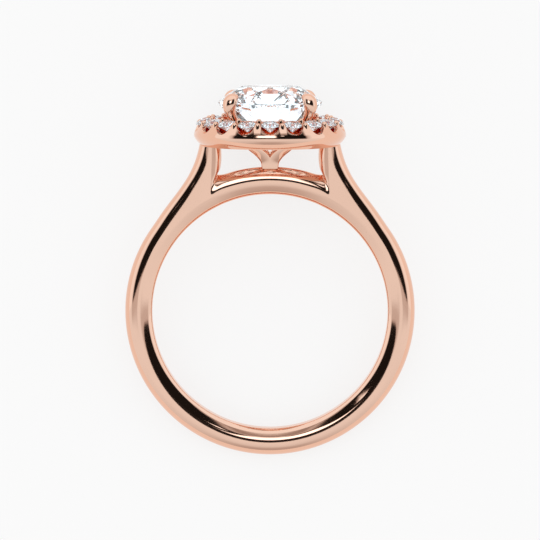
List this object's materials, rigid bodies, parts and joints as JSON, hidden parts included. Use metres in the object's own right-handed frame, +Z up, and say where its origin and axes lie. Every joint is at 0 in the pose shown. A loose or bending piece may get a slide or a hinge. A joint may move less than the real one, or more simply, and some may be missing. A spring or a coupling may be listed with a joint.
{
  "type": "halo ring",
  "caption": "Finger ring with a round centre stone held in claws inside a scalloped ring of small stones, on a slim rounded band whose shoulders rise to the head.",
  "frame": {"origin": "middle of the bounding box's base, on the floor that the ring lies on", "axes": "+Y from the far side of the band towards the head, +Z up from the floor, X across the band"},
  "size_m": [0.0212, 0.027, 0.0109],
  "materials": {
    "rose_gold": "high polish rose gold",
    "diamond": "polished facets, colourless"
  },
  "bodies": {
    "root": {"ring_metal": "rose_gold", "centre_stone": "diamond", "halo_stone_01": "diamond", "halo_stone_02": "diamond", "halo_stone_03": "diamond", "halo_stone_04": "diamond", "halo_stone_05": "diamond", "halo_stone_06": "diamond", "halo_stone_07": "diamond", "halo_stone_08": "diamond", "halo_stone_09": "diamond", "halo_stone_10": "diamond", "halo_stone_11": "diamond", "halo_stone_12": "diamond", "halo_stone_13": "diamond", "halo_stone_14": "diamond", "halo_stone_15": "diamond", "halo_stone_16": "diamond", "halo_stone_17": "diamond", "halo_stone_18": "diamond"}
  },
  "joints": []
}
